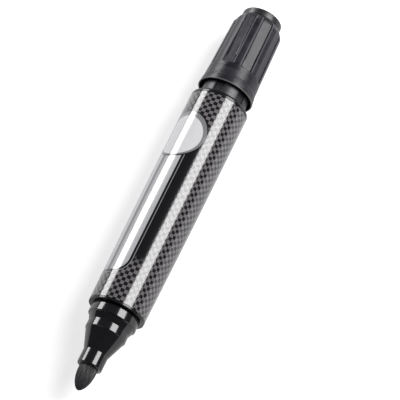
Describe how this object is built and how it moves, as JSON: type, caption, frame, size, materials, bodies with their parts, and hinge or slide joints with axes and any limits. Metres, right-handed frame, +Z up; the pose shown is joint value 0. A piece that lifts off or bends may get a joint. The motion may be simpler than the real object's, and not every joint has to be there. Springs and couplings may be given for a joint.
{
  "type": "whiteboard marker",
  "caption": "Refillable whiteboard marker lying on its side: tapered barrel with printed sleeve, bullet nib, screw-out rear plug, and fluted cap posted on the plug.",
  "frame": {"origin": "bottom centre of the marker lying on its side, cap posted", "axes": "+X along the marker towards the nib, +Z up, +Y across"},
  "size_m": [0.1442, 0.02, 0.02],
  "materials": {
    "barrel": "gloss",
    "label": "printed film, gloss",
    "holder": "high gloss",
    "nib": "ink-soaked felt",
    "fibre": "bonded fibre",
    "wrap": "film",
    "seal": "matte",
    "plug": "gloss",
    "cap": "satin",
    "liner": "natural polypropylene",
    "disc": "smooth satin"
  },
  "bodies": {
    "barrel": {"barrel_tube": "barrel", "label_sleeve": "label", "nib_holder": "holder", "nib": "nib", "ink_reservoir": "fibre", "reservoir_wrap": "wrap"},
    "seal": {"plug_seal": "seal"},
    "plug": {"rear_plug": "plug"},
    "cap": {"cap_shell": "cap", "cap_liner": "liner", "cap_end_disc": "disc"}
  },
  "joints": [
    {"name": "plug_lift", "type": "slide", "parent": "barrel", "child": "seal", "axis": [-1, 0, 0], "range_m": [0, 0.0075]},
    {"name": "plug_turn", "type": "hinge", "parent": "seal", "child": "plug", "pos_m": [-0.0361, 0, 0.01], "axis": [-1, 0, 0], "range_deg": [0, 1080]},
    {"name": "cap_pull", "type": "slide", "parent": "plug", "child": "cap", "axis": [-1, 0, 0], "range_m": [0, 0.012]}
  ],
  "couplings": [
    {"joint": "plug_turn", "follows": "plug_lift", "rad_per_m": 2513.3}
  ]
}
